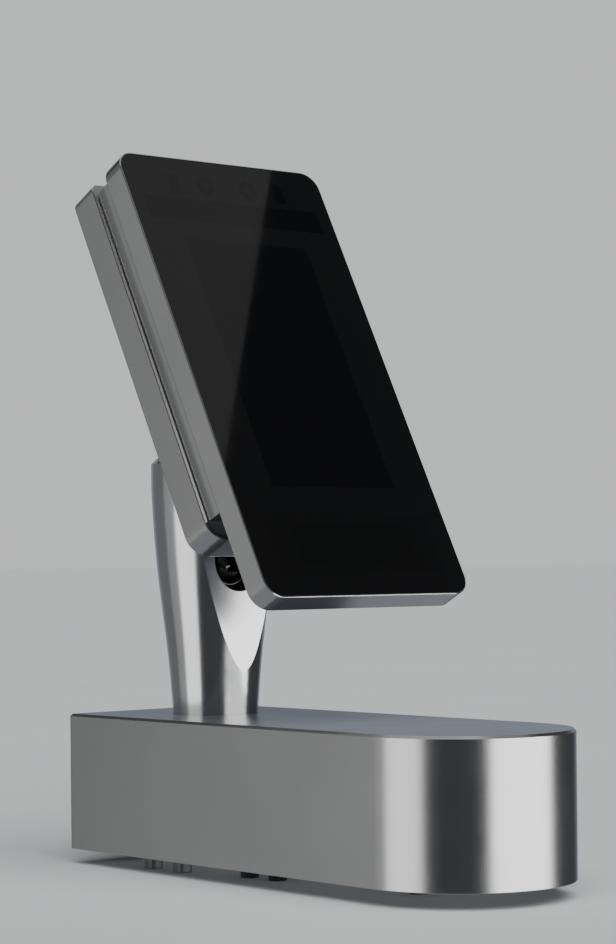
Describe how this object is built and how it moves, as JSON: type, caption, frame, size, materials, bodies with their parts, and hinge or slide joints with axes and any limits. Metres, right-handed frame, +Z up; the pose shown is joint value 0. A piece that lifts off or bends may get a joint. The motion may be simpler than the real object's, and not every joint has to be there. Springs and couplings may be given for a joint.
{
  "type": "phone charging kiosk",
  "caption": "Counter-top phone charging kiosk: a glass-fronted touch display on a tilting, swivelling knuckle in a round post, on a long half-round-ended base with a charging surface.",
  "frame": {"origin": "on the counter, under the middle of the base's length and width", "axes": "+X left to right, -Y out of the half-round front end, +Z up"},
  "size_m": [0.1426, 0.3134, 0.392],
  "materials": {
    "silver_shell": "satin",
    "front_silver": "satin",
    "post_silver": "satin",
    "polished_steel": "brushed",
    "plated_steel": "satin",
    "brass": "satin",
    "dark_glass": "gloss",
    "deck_plastic": "matte",
    "grey_nylon": "matte",
    "black_plastic": "matte",
    "gloss_black": "gloss",
    "frosted_plastic": "matte",
    "board_green": "satin",
    "board_white": "satin",
    "part_black": "matte",
    "copper_coil": "satin",
    "ferrite": "matte",
    "cast_iron": "matte",
    "foot_rubber": "matte",
    "screen_module": "gloss",
    "heat_alu": "satin"
  },
  "bodies": {
    "base": {"base_shell": "silver_shell", "top_skin": "deck_plastic", "bottom_plate": "plated_steel", "plate_screws": "plated_steel", "fixing_nuts": "plated_steel", "heel_blocks": "grey_nylon", "rubber_feet": "foot_rubber", "ballast": "cast_iron", "power_board": "board_green", "power_parts": "part_black", "board_standoffs": "brass", "coil_holder": "black_plastic", "charger_coil": "copper_coil", "ferrite_disc": "ferrite", "charger_board": "board_green", "charger_posts": "grey_nylon", "io_bay": "black_plastic", "dc_inlet": "black_plastic", "lan_socket": "plated_steel", "usb_socket": "plated_steel", "power_switch": "part_black", "post": "post_silver", "post_base": "heat_alu", "post_screws": "plated_steel", "spindle_column": "heat_alu", "column_screws": "plated_steel", "spindle": "polished_steel", "thrust_washer": "grey_nylon", "socket_bezel": "black_plastic", "trim_ring": "polished_steel"},
    "knuckle": {"knuckle": "gloss_black", "tilt_pin": "polished_steel"},
    "head": {"arm": "gloss_black", "arm_screws": "plated_steel", "arm_plate": "plated_steel", "rear_cover": "silver_shell", "rear_screws": "plated_steel", "chassis_plate": "heat_alu", "main_board": "board_green", "board_posts": "brass", "board_parts": "part_black", "heat_sink": "heat_alu", "middle_housing": "front_silver", "speakers": "black_plastic", "front_frame": "front_silver", "frame_screws": "plated_steel", "cover_glass": "dark_glass", "lcd_panel": "screen_module", "light_diffuser": "frosted_plastic", "fill_leds": "board_white", "led_board": "board_white", "colour_camera": "gloss_black", "infrared_camera": "gloss_black", "dot_projector": "gloss_black", "infrared_lamp": "gloss_black", "camera_board": "board_green", "reader_board": "board_green", "reader_coil": "copper_coil"},
    "button": {"power_button": "black_plastic"}
  },
  "joints": [
    {"name": "swivel", "type": "hinge", "parent": "base", "child": "knuckle", "pos_m": [0, 0.09181, 0.1683], "axis": [0, 0, 1], "range_deg": [-12, 12]},
    {"name": "tilt", "type": "hinge", "parent": "knuckle", "child": "head", "pos_m": [0, 0.09181, 0.1683], "axis": [1, 0, 0], "range_deg": [-3, 25]},
    {"name": "power_button_press", "type": "slide", "parent": "base", "child": "button", "axis": [0, -1, 0], "range_m": [0, 0.0012], "stiffness_N_per_m": 1500, "springref_m": -0.0008}
  ]
}
